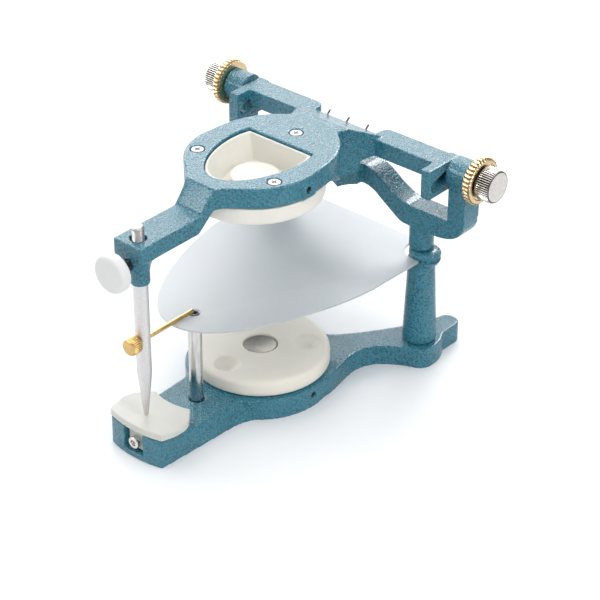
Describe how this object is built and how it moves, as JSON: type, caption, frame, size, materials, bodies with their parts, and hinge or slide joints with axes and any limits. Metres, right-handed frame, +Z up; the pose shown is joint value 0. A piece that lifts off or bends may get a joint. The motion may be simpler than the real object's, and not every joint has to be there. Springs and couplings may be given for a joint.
{
  "type": "dental articulator",
  "caption": "Dental articulator: cast lower frame with rear posts and condylar yoke, hinged upper frame, round mounting plates, incisal pin on a guide table, and a flat occlusal sheet.",
  "frame": {"origin": "centre of the bounding box in X and Y, on the surface that the base stands on", "axes": "+Z up; +Y towards the condylar hinge at the rear, -Y towards the incisal pin; +X to the right of someone facing the hinge"},
  "size_m": [0.1628, 0.1744, 0.1142],
  "materials": {
    "blue_paint": "glossy hammered-texture enamel over cast metal",
    "white_plastic": "satin warm white moulding",
    "knob_white": "satin cool white moulding",
    "sheet_plastic": "thin smooth sheet with a faint lilac cast",
    "brass": "turned and knurled, slightly satin",
    "nickel": "nickel-plated, turned",
    "stainless": "polished along its length",
    "satin_steel": "light satin",
    "magnet": "dark turned face",
    "dark_steel": "blackened"
  },
  "bodies": {
    "stand": {"base_frame": "blue_paint", "rear_yoke": "blue_paint", "rear_post_left": "blue_paint", "rear_post_right": "blue_paint", "incisal_guide_table": "white_plastic", "lower_mounting_plate": "white_plastic", "occlusal_plane_sheet": "sheet_plastic", "guide_table_screw": "nickel", "front_post": "stainless", "lower_magnet": "magnet", "post_screw_left": "dark_steel", "post_screw_right": "dark_steel", "lower_grub_screw": "dark_steel", "lower_plate_screw_1": "nickel", "lower_plate_screw_2": "nickel", "lower_plate_screw_3": "nickel"},
    "condyle_balls": {"condyle_ball_left": "stainless", "condyle_ball_right": "stainless"},
    "upper_member": {"upper_frame": "blue_paint", "upper_mounting_plate": "white_plastic", "upper_magnet": "magnet", "upper_plate_screw_1": "nickel", "upper_plate_screw_2": "nickel", "upper_plate_screw_3": "nickel", "upper_grub_screw": "dark_steel", "elastic_hook_1": "dark_steel", "elastic_hook_2": "dark_steel", "elastic_hook_3": "dark_steel"},
    "pin": {"incisal_pin": "satin_steel"},
    "pointer": {"pointer_rod": "brass", "pointer_head": "brass"},
    "clamp": {"clamp_knob": "knob_white", "clamp_stud": "nickel"},
    "screw_left": {"condyle_screw_left": "nickel"},
    "screw_right": {"condyle_screw_right": "nickel"},
    "nut_left": {"lock_nut_left": "brass"},
    "nut_right": {"lock_nut_right": "brass"}
  },
  "joints": [
    {"name": "condylar_hinge", "type": "hinge", "parent": "stand", "child": "condyle_balls", "pos_m": [0, 0.06313, 0.1017], "axis": [-1, 0, 0], "range_deg": [0, 90]},
    {"name": "protrusive_slide", "type": "slide", "parent": "condyle_balls", "child": "upper_member", "axis": [0, 0.9563, 0.2924], "range_m": [0, 0.008]},
    {"name": "incisal_pin_slide", "type": "slide", "parent": "upper_member", "child": "pin", "axis": [0, 0, 1], "range_m": [0, 0.02]},
    {"name": "pointer_slide", "type": "slide", "parent": "pin", "child": "pointer", "axis": [0, -1, 0], "range_m": [0, 0.025]},
    {"name": "clamp_turn", "type": "hinge", "parent": "upper_member", "child": "clamp", "pos_m": [0, -0.08367, 0.0948], "axis": [0, -1, 0], "range_deg": [0, 360]},
    {"name": "screw_left_turn", "type": "hinge", "parent": "stand", "child": "screw_left", "pos_m": [-0.076, 0.06313, 0.1017], "axis": [-1, 0, 0], "range_deg": [0, 360]},
    {"name": "screw_right_turn", "type": "hinge", "parent": "stand", "child": "screw_right", "pos_m": [0.076, 0.06313, 0.1017], "axis": [1, 0, 0], "range_deg": [0, 360]},
    {"name": "nut_left_turn", "type": "hinge", "parent": "stand", "child": "nut_left", "pos_m": [-0.071, 0.06313, 0.1017], "axis": [-1, 0, 0], "range_deg": [0, 360]},
    {"name": "nut_right_turn", "type": "hinge", "parent": "stand", "child": "nut_right", "pos_m": [0.071, 0.06313, 0.1017], "axis": [1, 0, 0], "range_deg": [0, 360]}
  ]
}
